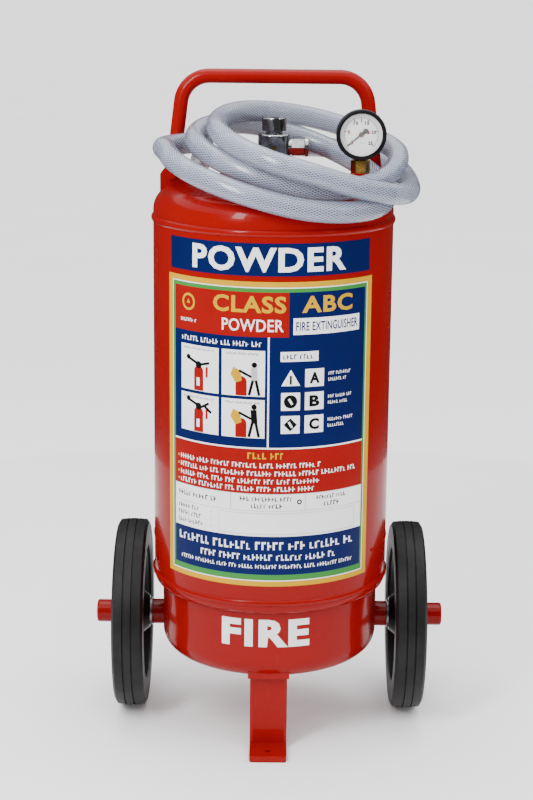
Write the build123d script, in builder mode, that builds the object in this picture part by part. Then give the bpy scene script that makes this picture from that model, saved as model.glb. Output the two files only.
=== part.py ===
from build123d import *
import os
from math import atan2, cos, degrees, pi, radians, sin, tan

os.makedirs("parts", exist_ok=True)

# Wheeled powder fire extinguisher. Millimetres, +Z up, the floor at z = 0 and the
# vessel's axis on Z. The front, with the label, faces -Y.

# Vessel
vessel_r = 150.0
shell_wall = 3.0
head_wall = 4.0
seam_top_z = 664.0
seam_low_z = 204.0
knuckle_r = 28.0
knuckle_z = 672.0
dome_top_z = 716.0
dome_flat_r = 30.0
neck_hole_r = 20.0
step_z = 188.0
drum_r = 139.0
drum_bottom_z = 98.0
drum_knuckle = 26.0

# Running gear
wheel_r = 124.0
wheel_x = 182.0
tyre_width = 40.0
tyre_bore_r = 89.0
axle_y = 40.0
axle_z = wheel_r
axle_r = 12.5
bush_clearance = 0.07
sleeve_r = 16.5
sleeve_half = 156.0
hub_half = 20.5
washer_thick = 2.5
axle_half = 224.0
cap_half = 230.0
spoke_count = 6

# Front leg: its toe reaches as far forward as the tyres reach back
leg_width = 47.0
leg_front_y = -122.0
leg_depth = 26.0
leg_wall = 4.0
toe_y = -(axle_y + wheel_r)
foot_thick = 8.0

# Handle
tube_r = 9.0
handle_y = 30.0
bar_z = 833.0
bar_half = 113.0
foot_half = 129.0
foot_z = 700.0
handle_bend_r = 36.0
lug_thick = 5.0
bolt_z = 712.0

# Valve
port_z = 737.0
outlet_z = 749.0
valve_r = 20.0
valve_low_z = 726.0
valve_top_z = 765.0
knob_r = 15.0
knob_low_z = 769.0
knob_top_z = 785.0

# Gauge
gauge_x = 105.0
gauge_y = -45.0
gauge_z = 770.0
gauge_r = 30.5
gauge_back_y = -34.0
gauge_front_y = -61.0
boss_top_z = 723.0
needle_rest_deg = 218.6

# Hose and discharge gun
hose_r = 13.0
gun_x = -103.0
gun_y = 134.0
hose_end_z = 590.0

# Labels: a front sheet stands just off the shell
label_r = vessel_r + 0.05
label_thick = 0.3

X_WAY = (0, 90, 0)
Y_WAY = (-90, 0, 0)
Z_WAY = (0, 0, 0)


def save(piece, name):
    piece.part.label = name
    export_step(piece.part, f"parts/{name}.step")


def rod(start, way, radius, length, mode=Mode.ADD):
    """A round bar from start along +X, +Y or +Z."""
    with Locations(start):
        Cylinder(radius, length, rotation=way, align=(Align.CENTER, Align.CENTER, Align.MIN), mode=mode)


def block(low, high, mode=Mode.ADD):
    """A box between two corners."""
    size = [b - a for a, b in zip(low, high)]
    with Locations(low):
        Box(*size, align=(Align.MIN, Align.MIN, Align.MIN), mode=mode)


def ring_bead(height, width, proud, sweep=360.0, start=0.0):
    """A half-round weld bead on the vessel's side."""
    with BuildPart() as bead:
        with BuildSketch(Plane.XZ.rotated((0, 0, start))):
            with BuildLine():
                Line((vessel_r, height + width / 2), (vessel_r, height - width / 2))
                ThreePointArc(
                    (vessel_r, height - width / 2),
                    (vessel_r + proud, height),
                    (vessel_r, height + width / 2),
                )
            make_face()
        revolve(axis=Axis.Z, revolution_arc=sweep)
    return bead


# --- pressure vessel: rolled shell, dished top and bottom heads ---
with BuildPart() as body_shell:
    with BuildSketch(Plane.XY.offset(seam_low_z)):
        Circle(vessel_r)
        Circle(vessel_r - shell_wall, mode=Mode.SUBTRACT)
    extrude(amount=seam_top_z - seam_low_z)
save(body_shell, "body_shell")

crown_r = vessel_r - knuckle_r
crown_mid = (dome_flat_r + crown_r) / 2
crown_mid_z = knuckle_z + knuckle_r + 0.72 * (dome_top_z - knuckle_z - knuckle_r)
corner = knuckle_r * cos(radians(45))
inner_corner = (knuckle_r - head_wall) * cos(radians(45))
with BuildPart() as top_head:
    with BuildSketch(Plane.XZ):
        with BuildLine():
            Line((vessel_r, seam_top_z), (vessel_r, knuckle_z))
            ThreePointArc(
                (vessel_r, knuckle_z),
                (crown_r + corner, knuckle_z + corner),
                (crown_r, knuckle_z + knuckle_r),
            )
            ThreePointArc(
                (crown_r, knuckle_z + knuckle_r), (crown_mid, crown_mid_z), (dome_flat_r, dome_top_z)
            )
            Line((dome_flat_r, dome_top_z), (neck_hole_r, dome_top_z))
            Line((neck_hole_r, dome_top_z), (neck_hole_r, dome_top_z - head_wall))
            Line((neck_hole_r, dome_top_z - head_wall), (dome_flat_r, dome_top_z - head_wall))
            ThreePointArc(
                (dome_flat_r, dome_top_z - head_wall),
                (crown_mid, crown_mid_z - head_wall),
                (crown_r, knuckle_z + knuckle_r - head_wall),
            )
            ThreePointArc(
                (crown_r, knuckle_z + knuckle_r - head_wall),
                (crown_r + inner_corner, knuckle_z + inner_corner),
                (vessel_r - head_wall, knuckle_z),
            )
            Line((vessel_r - head_wall, knuckle_z), (vessel_r - head_wall, seam_top_z))
            Line((vessel_r - head_wall, seam_top_z), (vessel_r, seam_top_z))
        make_face()
    revolve(axis=Axis.Z)
save(top_head, "top_head")

# The outside of the vessel's top as one full solid, for shaping what is welded on
with BuildPart() as vessel_form:
    with BuildSketch(Plane.XZ):
        with BuildLine():
            Line((0, 400), (vessel_r, 400))
            Line((vessel_r, 400), (vessel_r, knuckle_z))
            ThreePointArc(
                (vessel_r, knuckle_z),
                (crown_r + corner, knuckle_z + corner),
                (crown_r, knuckle_z + knuckle_r),
            )
            ThreePointArc(
                (crown_r, knuckle_z + knuckle_r), (crown_mid, crown_mid_z), (dome_flat_r, dome_top_z)
            )
            Line((dome_flat_r, dome_top_z), (0, dome_top_z))
            Line((0, dome_top_z), (0, 400))
        make_face()
    revolve(axis=Axis.Z)

dish_z = 150.0
dish_r = 133.0
dish_flat_r = 20.0
dish_mid_r = 85.0
dish_mid_z = 163.0
with BuildPart() as bottom_head:
    with BuildSketch(Plane.XZ):
        with BuildLine():
            Line((0, dish_z), (0, dish_z + head_wall))
            Line((0, dish_z + head_wall), (dish_flat_r, dish_z + head_wall))
            ThreePointArc(
                (dish_flat_r, dish_z + head_wall),
                (dish_mid_r, dish_mid_z + head_wall),
                (dish_r, step_z + head_wall),
            )
            Line((dish_r, step_z + head_wall), (vessel_r - 12, step_z + head_wall))
            Line((vessel_r - 12, step_z + head_wall), (vessel_r - head_wall, seam_low_z))
            Line((vessel_r - head_wall, seam_low_z), (vessel_r, seam_low_z))
            Line((vessel_r, seam_low_z), (vessel_r, seam_low_z - 4))
            ThreePointArc((vessel_r, seam_low_z - 4), (147, 192), (drum_r + 1, step_z))
            Line((drum_r + 1, step_z), (dish_r, step_z))
            ThreePointArc((dish_r, step_z), (dish_mid_r, dish_mid_z), (dish_flat_r, dish_z))
            Line((dish_flat_r, dish_z), (0, dish_z))
        make_face()
    revolve(axis=Axis.Z)
save(bottom_head, "bottom_head")

# --- base drum: pressed pan under the vessel that carries the axle and the leg ---
drum_wall = 3.0
inner_knuckle = drum_knuckle - drum_wall


with BuildPart() as drum_form:
    with BuildSketch(Plane.XZ) as drum_outline:
        with BuildLine():
            drum_turn = drum_knuckle * (1 - cos(radians(45)))
            Line((0, step_z), (drum_r, step_z))
            Line((drum_r, step_z), (drum_r, drum_bottom_z + drum_knuckle))
            ThreePointArc(
                (drum_r, drum_bottom_z + drum_knuckle),
                (drum_r - drum_turn, drum_bottom_z + drum_turn),
                (drum_r - drum_knuckle, drum_bottom_z),
            )
            Line((drum_r - drum_knuckle, drum_bottom_z), (0, drum_bottom_z))
            Line((0, drum_bottom_z), (0, step_z))
        make_face()
    revolve(axis=Axis.Z)

inner_r = drum_r - drum_wall
inner_bottom = drum_bottom_z + drum_wall
drain_r = 6.0
with BuildPart() as base_drum:
    add(drum_form.part)
    with BuildSketch(Plane.XZ):
        with BuildLine():
            inner_turn = inner_knuckle * (1 - cos(radians(45)))
            Line((0, step_z), (inner_r, step_z))
            Line((inner_r, step_z), (inner_r, inner_bottom + inner_knuckle))
            ThreePointArc(
                (inner_r, inner_bottom + inner_knuckle),
                (inner_r - inner_turn, inner_bottom + inner_turn),
                (inner_r - inner_knuckle, inner_bottom),
            )
            Line((inner_r - inner_knuckle, inner_bottom), (0, inner_bottom))
            Line((0, inner_bottom), (0, step_z))
        make_face()
    revolve(axis=Axis.Z, mode=Mode.SUBTRACT)
    rod((-vessel_r, axle_y, axle_z), X_WAY, sleeve_r, 2 * vessel_r, mode=Mode.SUBTRACT)
    with Locations((0, 0, drum_bottom_z)):
        with PolarLocations(70, 3, start_angle=90):
            Cylinder(drain_r, 4 * drum_wall, mode=Mode.SUBTRACT)
save(base_drum, "base_drum")

save(ring_bead(662, 9, 2.6), "upper_weld_bead")
save(ring_bead(204.5, 8, 2.6), "lower_weld_bead")
# The lower seam bead is ground away where the label lies over it
save(ring_bead(252, 4, 1.0, sweep=236, start=-32), "lower_seam_bead")

# --- neck, seal, dip tube ---
neck_r = 24.0
neck_bore_r = 15.0
with BuildPart() as neck_ring:
    rod((0, 0, dome_top_z), Z_WAY, neck_r, 8)
    rod((0, 0, dome_top_z - 12), Z_WAY, neck_hole_r, 12)
    rod((0, 0, dome_top_z - 12), Z_WAY, neck_bore_r, 20, mode=Mode.SUBTRACT)
    chamfer(neck_ring.edges().group_by(Axis.Z)[-1], 1)
save(neck_ring, "neck_ring")

with BuildPart() as neck_seal:
    rod((0, 0, dome_top_z + 8), Z_WAY, 18.5, 2)
    rod((0, 0, dome_top_z + 8), Z_WAY, neck_bore_r, 2, mode=Mode.SUBTRACT)
save(neck_seal, "neck_seal")

dip_r = 9.5
dip_top_z = 712.0
with BuildPart() as dip_tube:
    rod((0, 0, 172), Z_WAY, dip_r, dip_top_z - 172)
    rod((0, 0, 172), Z_WAY, dip_r - 1.5, dip_top_z - 172, mode=Mode.SUBTRACT)
save(dip_tube, "dip_tube")

# --- valve: body with a rear hose port and a side charging port ---
spindle_r = 4.0
with BuildPart() as valve_body:
    rod((0, 0, valve_low_z), Z_WAY, valve_r, valve_top_z - valve_low_z)
    fillet(valve_body.edges().group_by(Axis.Z)[-1], 2)
    rod((0, 0, dome_top_z - 10), Z_WAY, neck_bore_r, 20)
    rod((0, 8, port_z), Y_WAY, 11, 19)
    rod((8, 0, outlet_z), X_WAY, 9.5, 14)
    with Locations((0, -valve_r + 1, outlet_z)):
        Cylinder(14, 4, rotation=Y_WAY)
    rod((0, 0, dome_top_z - 10), Z_WAY, dip_r, 6, mode=Mode.SUBTRACT)
    rod((0, 0, dome_top_z - 10), Z_WAY, 7, 42, mode=Mode.SUBTRACT)
    rod((0, 0, 740), Z_WAY, spindle_r + 0.08, 60, mode=Mode.SUBTRACT)
    rod((0, 0, valve_top_z - 6), Z_WAY, 8, 10, mode=Mode.SUBTRACT)
    rod((0, 0, port_z), Y_WAY, 5.5, 40, mode=Mode.SUBTRACT)
    rod((0, 0, outlet_z), X_WAY, 3, 40, mode=Mode.SUBTRACT)
save(valve_body, "valve_body")

with BuildPart() as valve_gland:
    rod((0, 0, valve_top_z - 6), Z_WAY, 8, 6)
    rod((0, 0, valve_top_z), Z_WAY, 10.5, 3.4)
    rod((0, 0, valve_top_z - 6), Z_WAY, spindle_r + 0.08, 12, mode=Mode.SUBTRACT)
save(valve_gland, "valve_gland")

with BuildPart() as valve_spindle:
    rod((0, 0, 741), Z_WAY, spindle_r, knob_low_z + 8 - 741)
    rod((0, 0, 741), Z_WAY, 6, 3)
save(valve_spindle, "valve_spindle")

with BuildPart() as valve_knob:
    rod((0, 0, knob_low_z), Z_WAY, knob_r, knob_top_z - knob_low_z)
    fillet(valve_knob.edges().group_by(Axis.Z)[-1], 1.5)
    with Locations((0, 0, knob_top_z - 9)):
        with PolarLocations(knob_r, 4, start_angle=10):
            Box(3.4, 6, 18, mode=Mode.SUBTRACT)
    rod((0, 0, knob_low_z), Z_WAY, spindle_r, 8, mode=Mode.SUBTRACT)
    rod((0, 0, knob_top_z - 2), Z_WAY, 6, 2, mode=Mode.SUBTRACT)
save(valve_knob, "valve_knob")

plate_y = -valve_r - 1
with BuildPart() as valve_plate:
    rod((0, plate_y - 1.2, outlet_z), Y_WAY, 13, 1.2)
    rod((0, plate_y - 1.2, outlet_z), Y_WAY, 3, 1.2, mode=Mode.SUBTRACT)
save(valve_plate, "valve_plate")

with BuildPart() as relief_plug:
    with BuildSketch(Plane.XZ.offset(-plate_y)):
        with Locations((0, outlet_z)):
            RegularPolygon(3, 6)
    extrude(amount=3.2)
save(relief_plug, "relief_plug")

with BuildPart() as charging_nut:
    with BuildSketch(Plane.YZ.offset(22)):
        with Locations((0, outlet_z)):
            RegularPolygon(11.6, 6)
            Circle(6, mode=Mode.SUBTRACT)
    extrude(amount=16)
    chamfer(charging_nut.edges().group_by(Axis.X)[-1].filter_by(GeomType.LINE), 0.8)
save(charging_nut, "charging_nut")

with BuildPart() as charging_cap:
    rod((38, 0, outlet_z), X_WAY, 12, 4.5)
    fillet(charging_cap.edges().group_by(Axis.X)[-1], 1)
    rod((26, 0, outlet_z), X_WAY, 6, 12)
save(charging_cap, "charging_cap")

# --- hose fittings on the rear port ---
nut_y = 27.0
ferrule_y = 40.0
lead_y = 62.0
with BuildPart() as hose_nut:
    with BuildSketch(Plane.XZ.offset(-ferrule_y)):
        with Locations((0, port_z)):
            RegularPolygon(14, 6)
            Circle(7, mode=Mode.SUBTRACT)
    extrude(amount=ferrule_y - nut_y)
save(hose_nut, "hose_nut")

with BuildPart() as hose_ferrule:
    rod((0, ferrule_y, port_z), Y_WAY, 14.4, lead_y - ferrule_y)
    rod((0, ferrule_y, port_z), Y_WAY, 7, lead_y - ferrule_y, mode=Mode.SUBTRACT)
    fillet(hose_ferrule.edges().group_by(Axis.Y)[-1].sort_by(SortBy.LENGTH)[-1], 1.5)
save(hose_ferrule, "hose_ferrule")


# --- hose: tube where it isn't coiled, and one solid for the coil ---
def bend_radii(points):
    """The largest arc that each corner's two runs allow."""
    vectors = [Vector(*p) for p in points]
    radii = []
    for before, here, after in zip(vectors, vectors[1:], vectors[2:]):
        turn = radians((here - before).get_angle(after - here))
        radii.append(0.45 * min((here - before).length, (after - here).length) / tan(turn / 2))
    return radii


def hose_tube(points, name):
    """A plain tube of the hose's outside along straight runs and tangent arcs."""
    radii = bend_radii(points)
    with BuildPart() as tube:
        with BuildLine() as route:
            FilletPolyline(*points, radius=radii)
        with BuildSketch(Plane(origin=route.line @ 0, z_dir=route.line % 0)):
            Circle(hose_r)
        sweep()
    length = route.wire().length
    expected = pi * hose_r ** 2 * length
    print(name, "length", round(length), "radii", [round(r) for r in radii])
    print(name, "volume ratio", round(tube.part.volume / expected, 4))
    save(tube, name)


lead_points = [
    (0, 62, 737),
    (0, 86, 737),
    (9, 109, 737),
    (25, 128, 737),
    (49, 139, 736),
    (79, 140, 734),
    (109, 129, 731),
    (135, 108, 727),
    (153, 78, 720),
    (164, 43, 713),
]
tail_points = [
    (-138, -30, 750),
    (-121, -5, 751),
    (-99, 18, 751),
    (-89, 47, 747),
    (-90, 78, 737),
    (-96, 106, 719),
    (-102, 128, 693),
    (-105, 138, 659),
    (-103, 134, 623),
    (-103, 134, hose_end_z),
]
hose_tube(lead_points, "hose_lead")
hose_tube(tail_points, "hose_tail")

# The coil lies tilted, high at the left and the back. Its ring is the band that the
# three turns fill, cut clear of the fittings that stand inside it.
coil_slope_x = -0.24
coil_slope_y = 0.20
coil_plane = Plane(origin=(12, -40, 735), x_dir=(1, 0, coil_slope_x), z_dir=(-coil_slope_x, -coil_slope_y, 1))
with BuildPart() as hose_coil:
    with BuildSketch(coil_plane.offset(-32)):
        Ellipse(172, 140)
        with Locations((12, 4)):
            Ellipse(96, 74, mode=Mode.SUBTRACT)
    extrude(amount=78)
    add(vessel_form.part, mode=Mode.SUBTRACT)
    block((-75, 8, 640), (110, 160, 752), mode=Mode.SUBTRACT)
    block((-20, -20, 700), (60, 40, 900), mode=Mode.SUBTRACT)
    rod((gauge_x, gauge_y, 690), Z_WAY, 18, 200, mode=Mode.SUBTRACT)
    rod((gauge_x, gauge_front_y - 4, gauge_z), Y_WAY, gauge_r + 3, 36, mode=Mode.SUBTRACT)
    for side in (-1, 1):
        block((side * 126 - 24, 6, 640), (side * 126 + 24, 58, 900), mode=Mode.SUBTRACT)
    block((-300, -300, 802), (300, 300, 900), mode=Mode.SUBTRACT)
    block((-300, -300, 600), (300, 300, 670), mode=Mode.SUBTRACT)
    coil_body = hose_coil.part.solids().sort_by(SortBy.VOLUME)[-1]
with BuildPart() as hose_coil_solid:
    add(coil_body)
save(hose_coil_solid, "hose_coil")
print("hose_coil pieces", len(hose_coil.part.solids()), round(coil_body.volume))

# --- discharge gun, hung nozzle down in a spring clip behind the vessel ---
ferrule_low_z = 558.0
chamber_top_z = 544.0
chamber_low_z = 480.0
chamber_r = 15.0
nozzle_low_z = 352.0
with BuildPart() as gun_ferrule:
    rod((gun_x, gun_y, ferrule_low_z), Z_WAY, 14.4, hose_end_z - ferrule_low_z)
    rod((gun_x, gun_y, ferrule_low_z), Z_WAY, 7, hose_end_z - ferrule_low_z, mode=Mode.SUBTRACT)
save(gun_ferrule, "gun_ferrule")

with BuildPart() as gun_nut:
    with BuildSketch(Plane.XY.offset(chamber_top_z)):
        with Locations((gun_x, gun_y)):
            RegularPolygon(14, 6)
            Circle(7, mode=Mode.SUBTRACT)
    extrude(amount=ferrule_low_z - chamber_top_z)
save(gun_nut, "gun_nut")

pivot_x = gun_x - 24.0
pivot_z = 532.0
pivot_r = 2.5
ear_gap = 12.0
ear_thick = 3.0
with BuildPart() as gun_body:
    rod((gun_x, gun_y, chamber_low_z), Z_WAY, chamber_r, chamber_top_z - chamber_low_z)
    fillet(gun_body.edges().group_by(Axis.Z)[0], 4)
    for side in (-1, 1):
        ear_low = gun_y + side * (ear_gap / 2 + ear_thick / 2) - ear_thick / 2
        block((pivot_x - 6, ear_low, pivot_z - 7), (gun_x, ear_low + ear_thick, pivot_z + 7))
    rod((gun_x, gun_y, chamber_low_z - 1), Z_WAY, 7, 80, mode=Mode.SUBTRACT)
    rod((pivot_x, gun_y - 20, pivot_z), Y_WAY, pivot_r, 40, mode=Mode.SUBTRACT)
save(gun_body, "gun_body")

with BuildPart() as gun_pin:
    rod((pivot_x, gun_y - ear_gap / 2 - ear_thick - 1, pivot_z), Y_WAY, pivot_r, ear_gap + 2 * ear_thick + 2)
save(gun_pin, "gun_pin")

lever_half = 5.6
with BuildPart() as gun_lever:
    with BuildSketch(Plane.XZ.offset(-(gun_y + lever_half))):
        with BuildLine():
            Polyline(
                (pivot_x - 5, pivot_z + 5),
                (pivot_x + 5, pivot_z + 5),
                (pivot_x + 5, pivot_z - 8),
                (pivot_x - 6, pivot_z - 60),
                (pivot_x - 9, pivot_z - 112),
                (pivot_x - 14, pivot_z - 112),
                (pivot_x - 11, pivot_z - 60),
                (pivot_x - 5, pivot_z - 8),
                close=True,
            )
        make_face()
    extrude(amount=2 * lever_half)
    rod((pivot_x, gun_y - 20, pivot_z), Y_WAY, pivot_r + bush_clearance, 40, mode=Mode.SUBTRACT)
save(gun_lever, "gun_lever")

with BuildPart() as gun_nozzle:
    with BuildSketch(Plane(origin=(gun_x, gun_y, 0), x_dir=(1, 0, 0), z_dir=(0, -1, 0))):
        with BuildLine():
            Polyline(
                (5, chamber_low_z),
                (11, chamber_low_z),
                (11, chamber_low_z - 12),
                (9, chamber_low_z - 16),
                (9, nozzle_low_z + 24),
                (13, nozzle_low_z),
                (10, nozzle_low_z),
                (5, nozzle_low_z + 24),
                close=True,
            )
        make_face()
    revolve(axis=Axis((gun_x, gun_y, 0), (0, 0, 1)))
save(gun_nozzle, "gun_nozzle")

# The clip's arms open away from the vessel; its tongue is welded to the shell
gun_angle = degrees(atan2(gun_y, gun_x))
gun_reach = (gun_x ** 2 + gun_y ** 2) ** 0.5
clip_plane = Plane(origin=(gun_x, gun_y, 425), x_dir=(cos(radians(gun_angle)), sin(radians(gun_angle)), 0),
                   z_dir=(0, 0, 1))
with BuildPart() as nozzle_clip:
    with BuildSketch(clip_plane):
        Circle(11.6)
        with Locations((-(gun_reach - vessel_r) / 2 - 3, 0)):
            Rectangle(gun_reach - vessel_r - 6, 12)
        Circle(9.4, mode=Mode.SUBTRACT)
        with Locations((12, 0)):
            Rectangle(14, 11, mode=Mode.SUBTRACT)
    extrude(amount=20)
    with BuildSketch(Plane.XY.offset(420)):
        Circle(vessel_r)
    extrude(amount=40, mode=Mode.SUBTRACT)
save(nozzle_clip, "nozzle_clip")

# --- pressure gauge ---
with BuildPart() as gauge_boss:
    rod((gauge_x, gauge_y, 690), Z_WAY, 12.5, boss_top_z - 690)
    add(vessel_form.part, mode=Mode.SUBTRACT)
    chamfer(gauge_boss.edges().group_by(Axis.Z)[-1], 1)
save(gauge_boss, "gauge_boss")

case_r = 29.0
stem_top_z = gauge_z - case_r
with BuildPart() as gauge_stem:
    with BuildSketch(Plane.XY.offset(boss_top_z)):
        with Locations((gauge_x, gauge_y)):
            RegularPolygon(11.6, 6)
    extrude(amount=stem_top_z - boss_top_z - 2)
    chamfer(gauge_stem.edges().group_by(Axis.Z)[-1], 0.8)
    rod((gauge_x, gauge_y, stem_top_z - 2), Z_WAY, 6, 6)
    rod((gauge_x, gauge_front_y, gauge_z), Y_WAY, case_r, 40, mode=Mode.SUBTRACT)
save(gauge_stem, "gauge_stem")

dial_y = gauge_front_y + 6.0
lens_y = gauge_front_y + 1.5
with BuildPart() as gauge_case:
    rod((gauge_x, gauge_front_y + 1, gauge_z), Y_WAY, case_r, gauge_back_y - gauge_front_y - 1)
    fillet(gauge_case.edges().group_by(Axis.Y)[-1], 4)
    well_start = (gauge_x, gauge_front_y + 1, gauge_z)
    rod(well_start, Y_WAY, case_r - 2, dial_y - gauge_front_y, mode=Mode.SUBTRACT)
save(gauge_case, "gauge_case")

with BuildPart() as gauge_dial:
    rod((gauge_x, dial_y, gauge_z), Y_WAY, case_r - 2, 1)
save(gauge_dial, "gauge_dial")

with BuildPart() as gauge_lens:
    rod((gauge_x, gauge_front_y + 1, gauge_z), Y_WAY, case_r - 2, 1.2)
save(gauge_lens, "gauge_lens")

with BuildPart() as gauge_bezel:
    rod((gauge_x, gauge_front_y - 1, gauge_z), Y_WAY, gauge_r, 8)
    fillet(gauge_bezel.edges().group_by(Axis.Y)[0], 2)
    rod((gauge_x, gauge_front_y - 1, gauge_z), Y_WAY, gauge_r - 5, 2, mode=Mode.SUBTRACT)
    rod((gauge_x, gauge_front_y + 1, gauge_z), Y_WAY, case_r, 8, mode=Mode.SUBTRACT)
save(gauge_bezel, "gauge_bezel")

needle_y = dial_y - 1.6
with BuildPart() as gauge_pivot:
    rod((gauge_x, needle_y - 0.6, gauge_z), Y_WAY, 1.2, dial_y - needle_y + 0.6)
save(gauge_pivot, "gauge_pivot")

needle_plane = Plane(
    origin=(gauge_x, needle_y + 0.6, gauge_z),
    x_dir=(cos(radians(needle_rest_deg)), 0, sin(radians(needle_rest_deg))),
    z_dir=(0, -1, 0),
)
with BuildPart() as gauge_needle:
    with BuildSketch(needle_plane):
        with BuildLine():
            Polyline(
                (23, 0.25), (23, -0.25), (0, -1.0), (-7, -3.2),
                (-10, -1.2), (-10, 1.2), (-7, 3.2), (0, 1.0),
                close=True,
            )
        make_face()
        Circle(3)
        Circle(1.25, mode=Mode.SUBTRACT)
    extrude(amount=0.6)
save(gauge_needle, "gauge_needle")

# --- front leg: channel under the drum, folded into a toe plate ---
with BuildPart() as front_leg:
    block((-leg_width / 2, leg_front_y, foot_thick), (leg_width / 2, leg_front_y + leg_depth, 112))
    fillet(front_leg.edges().filter_by(Axis.Z).group_by(Axis.Y)[0], 4)
    block(
        (-leg_width / 2 + leg_wall, leg_front_y + leg_wall, foot_thick),
        (leg_width / 2 - leg_wall, leg_front_y + leg_depth, 112),
        mode=Mode.SUBTRACT,
    )
    add(drum_form.part, mode=Mode.SUBTRACT)
    leg_solid = front_leg.part.solids().sort_by(SortBy.VOLUME)[-1]
with BuildPart() as front_leg_solid:
    add(leg_solid)
save(front_leg_solid, "front_leg")

cap_low_z = 98.0
with BuildPart() as leg_cap:
    block((-leg_width / 2 - 2.5, leg_front_y - 9, cap_low_z), (leg_width / 2 + 2.5, leg_front_y, 107))
    add(drum_form.part, mode=Mode.SUBTRACT)
save(leg_cap, "leg_cap")

toe_hole_r = 3.5
toe_hole_y = toe_y + 17
foot_back_y = leg_front_y + leg_depth + 12
with BuildPart() as foot_plate:
    block((-leg_width / 2, toe_y, 0), (leg_width / 2, foot_back_y, foot_thick))
    fillet(foot_plate.edges().filter_by(Axis.Z), 5)
    fillet(foot_plate.edges().group_by(Axis.Z)[-1], 1.5)
    rod((0, toe_hole_y, 0), Z_WAY, toe_hole_r, foot_thick, mode=Mode.SUBTRACT)
save(foot_plate, "foot_plate")

# --- axle, sleeve, end caps, washers ---
with BuildPart() as axle_sleeve:
    rod((-sleeve_half, axle_y, axle_z), X_WAY, sleeve_r, 2 * sleeve_half)
    rod((-sleeve_half, axle_y, axle_z), X_WAY, axle_r, 2 * sleeve_half, mode=Mode.SUBTRACT)
save(axle_sleeve, "axle_sleeve")

with BuildPart() as axle:
    rod((-axle_half, axle_y, axle_z), X_WAY, axle_r, 2 * axle_half)
    chamfer(axle.edges(), 1)
save(axle, "axle")

hub_in = wheel_x - hub_half - 2.0
hub_out = wheel_x + hub_half - 3.0
cap_in = hub_out + 1.0 + washer_thick
cap_r = 15.0
with BuildPart() as axle_caps:
    for side in (-1, 1):
        low = min(side * cap_in, side * cap_half)
        rod((low, axle_y, axle_z), X_WAY, cap_r, cap_half - cap_in)
    fillet(axle_caps.edges().group_by(Axis.X)[0] + axle_caps.edges().group_by(Axis.X)[-1], 3)
    rod((-axle_half, axle_y, axle_z), X_WAY, axle_r, 2 * axle_half, mode=Mode.SUBTRACT)
save(axle_caps, "axle_caps")

with BuildPart() as axle_washers:
    for side in (-1, 1):
        for inner in (hub_in - 0.5 - washer_thick, hub_out + 0.5):
            low = min(side * inner, side * (inner + washer_thick))
            rod((low, axle_y, axle_z), X_WAY, 18.4, washer_thick)
    rod((-axle_half, axle_y, axle_z), X_WAY, axle_r, 2 * axle_half, mode=Mode.SUBTRACT)
save(axle_washers, "axle_washers")


# --- wheels: solid rubber tyre on a moulded centre with a plain bush ---
groove = 2.2
shoulder = 6.0
bush_r = 16.0
wheel_plane = Plane(origin=(0, axle_y, axle_z), x_dir=(1, 0, 0), z_dir=(0, 0, 1))
axle_line = Axis((0, axle_y, axle_z), (1, 0, 0))
half = tyre_width / 2
for side, name in ((-1, "left"), (1, "right")):
    centre = side * wheel_x
    with BuildPart() as tyre:
        with BuildSketch(wheel_plane):
            with BuildLine():
                Polyline(
                    (centre - half + 2, tyre_bore_r),
                    (centre - half, tyre_bore_r + 4),
                    (centre - half, wheel_r - shoulder),
                    (centre - half + 3, wheel_r - 1.2),
                    (centre - 6.5, wheel_r),
                    (centre - 6.0, wheel_r - groove),
                    (centre - 5.0, wheel_r - groove),
                    (centre - 4.5, wheel_r),
                    (centre + 4.5, wheel_r),
                    (centre + 5.0, wheel_r - groove),
                    (centre + 6.0, wheel_r - groove),
                    (centre + 6.5, wheel_r),
                    (centre + half - 3, wheel_r - 1.2),
                    (centre + half, wheel_r - shoulder),
                    (centre + half, tyre_bore_r + 4),
                    (centre + half - 2, tyre_bore_r),
                    close=True,
                )
            make_face()
        revolve(axis=axle_line)
    save(tyre, f"{name}_tyre")

    # Hub cone is deeper on the side that faces the vessel
    inner_x = side * hub_in
    outer_x = side * hub_out
    with BuildPart() as centre_piece:
        with BuildSketch(wheel_plane):
            with BuildLine():
                Polyline(
                    (centre - 14, tyre_bore_r),
                    (centre + 14, tyre_bore_r),
                    (centre + 15, tyre_bore_r - 5),
                    (centre + 5, tyre_bore_r - 12),
                    (centre - 5, tyre_bore_r - 12),
                    (centre - 15, tyre_bore_r - 5),
                    close=True,
                )
            make_face()
            with BuildLine():
                Polyline(
                    (inner_x, bush_r),
                    (inner_x, 21),
                    (centre - side * 6, 34),
                    (centre + side * 4, 34),
                    (outer_x, 21),
                    (outer_x, bush_r),
                    close=True,
                )
            make_face()
        revolve(axis=axle_line)
        for spoke in range(spoke_count):
            turn = 360 / spoke_count * spoke
            spoke_plane = Plane(
                origin=(centre, axle_y, axle_z),
                x_dir=(1, 0, 0),
                z_dir=(0, cos(radians(turn)), sin(radians(turn))),
            )
            with BuildSketch(spoke_plane.offset(24)):
                Rectangle(16, 8)
            with BuildSketch(spoke_plane.offset(tyre_bore_r - 11)):
                Rectangle(9, 6)
            loft()
        rod((-cap_half, axle_y, axle_z), X_WAY, bush_r, 2 * cap_half, mode=Mode.SUBTRACT)
    save(centre_piece, f"{name}_wheel")

    with BuildPart() as bush:
        low = min(inner_x, outer_x)
        rod((low, axle_y, axle_z), X_WAY, bush_r, hub_out - hub_in)
        rod((low, axle_y, axle_z), X_WAY, axle_r + bush_clearance, hub_out - hub_in, mode=Mode.SUBTRACT)
    save(bush, f"{name}_bush")

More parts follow.
